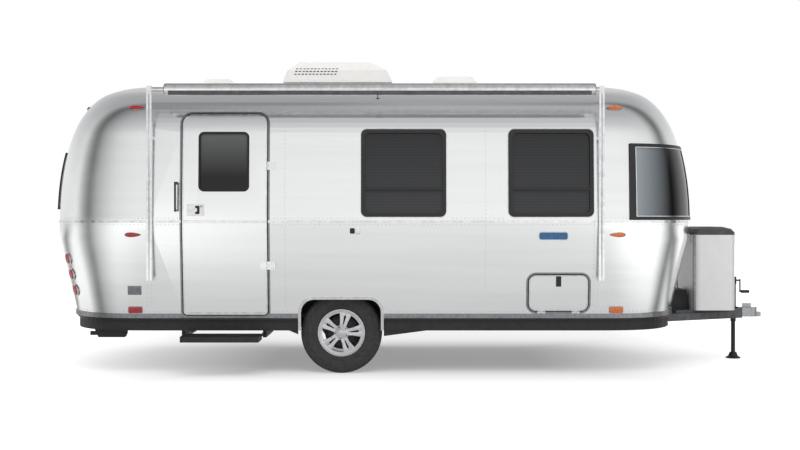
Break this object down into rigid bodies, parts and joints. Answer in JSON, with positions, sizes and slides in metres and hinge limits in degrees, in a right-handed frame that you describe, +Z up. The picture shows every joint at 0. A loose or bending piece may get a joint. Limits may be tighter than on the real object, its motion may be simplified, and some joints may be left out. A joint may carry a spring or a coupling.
{
  "type": "travel caravan",
  "caption": "Single-axle travel caravan with a rounded riveted aluminium shell, an entry door, a storage hatch, an awning and a tongue jack.",
  "frame": {"origin": "centre of the jack foot's underside, on the ground", "axes": "+X forwards to the hitch, +Y to the side away from the entry door, +Z up"},
  "size_m": [6.6942, 2.6293, 2.83],
  "materials": {
    "aluminium": "satin",
    "bright_aluminium": "polished",
    "floor_board": "matte",
    "belly_sheet": "matte",
    "window_frame": "satin",
    "tinted_glass": "gloss",
    "black_plastic": "matte",
    "chassis_paint": "satin",
    "frame_paint": "satin",
    "tyre": "matte",
    "wheel_alloy": "satin",
    "zinc_steel": "satin",
    "black_paint": "satin",
    "gas_cover_metal": "satin",
    "gas_lid_plastic": "matte",
    "bottle_paint": "gloss",
    "white_plastic": "matte",
    "amber_lens": "gloss",
    "red_lens": "gloss",
    "plate_white": "satin",
    "fitting_grey": "matte"
  },
  "bodies": {
    "body": {"front_cap": "aluminium", "rear_cap": "aluminium", "wall_door_side": "aluminium", "wall_street_side": "aluminium", "roof_panel": "aluminium", "cabin_floor": "floor_board", "belly_pan": "belly_sheet", "belly_skirt": "belly_sheet", "belt_trim": "bright_aluminium", "rub_rail": "bright_aluminium", "side_window_frames": "window_frame", "side_window_panes": "tinted_glass", "front_window": "tinted_glass", "rear_window": "tinted_glass", "hinge_brackets": "bright_aluminium", "chassis_frame": "chassis_paint", "a_frame": "frame_paint", "axle": "chassis_paint", "wheel_housings": "belly_sheet", "wheel_arch_trims": "bright_aluminium", "coupler": "zinc_steel", "jack_tube": "black_paint", "jack_crank": "black_paint", "gas_cover": "gas_cover_metal", "gas_bottles": "bottle_paint", "battery_box": "black_plastic", "air_conditioner": "white_plastic", "roof_vents": "white_plastic", "awning_roller": "bright_aluminium", "awning_arms": "bright_aluminium", "grab_rail": "bright_aluminium", "step_frame": "chassis_paint", "stabiliser_brackets": "chassis_paint", "amber_lights": "amber_lens", "red_lights": "red_lens", "tail_lamps": "red_lens", "number_plate": "plate_white", "side_fittings": "fitting_grey"},
    "left_wheel": {"left_tyre": "tyre", "left_rim": "wheel_alloy"},
    "right_wheel": {"right_tyre": "tyre", "right_rim": "wheel_alloy"},
    "door": {"entry_door": "aluminium", "door_window": "tinted_glass", "door_handle": "bright_aluminium"},
    "hatch": {"storage_hatch": "aluminium", "hatch_latch": "black_plastic"},
    "lid": {"gas_lid": "gas_lid_plastic"},
    "jack": {"jack_leg": "zinc_steel"},
    "step": {"entry_step": "chassis_paint"},
    "left_stabiliser": {"left_stabiliser_leg": "chassis_paint"},
    "right_stabiliser": {"right_stabiliser_leg": "chassis_paint"}
  },
  "joints": [
    {"name": "left_wheel_spin", "type": "hinge", "parent": "body", "child": "left_wheel", "pos_m": [-3.753, 0.985, 0.355], "axis": [0, 1, 0], "continuous": true},
    {"name": "right_wheel_spin", "type": "hinge", "parent": "body", "child": "right_wheel", "pos_m": [-3.753, -0.985, 0.355], "axis": [0, 1, 0], "continuous": true},
    {"name": "entry_door_hinge", "type": "hinge", "parent": "body", "child": "door", "pos_m": [-4.379, -1.233, 1.3], "axis": [0, 0, 1], "range_deg": [0, 120]},
    {"name": "storage_hatch_hinge", "type": "hinge", "parent": "body", "child": "hatch", "pos_m": [-1.866, -1.16349, 0.542], "axis": [1, 0, 0], "range_deg": [0, 100]},
    {"name": "gas_lid_hinge", "type": "hinge", "parent": "body", "child": "lid", "pos_m": [-0.479, 0, 1.2013], "axis": [0, -1, 0], "range_deg": [0, 60]},
    {"name": "jack_slide", "type": "slide", "parent": "body", "child": "jack", "axis": [0, 0, 1], "range_m": [0, 0.285]},
    {"name": "step_slide", "type": "slide", "parent": "body", "child": "step", "axis": [0, 1, 0], "range_m": [0, 0.25]},
    {"name": "left_stabiliser_hinge", "type": "hinge", "parent": "body", "child": "left_stabiliser", "pos_m": [-5.688, 0.9, 0.335], "axis": [0, -1, 0], "range_deg": [0, 78]},
    {"name": "right_stabiliser_hinge", "type": "hinge", "parent": "body", "child": "right_stabiliser", "pos_m": [-5.688, -0.9, 0.335], "axis": [0, -1, 0], "range_deg": [0, 78]}
  ]
}
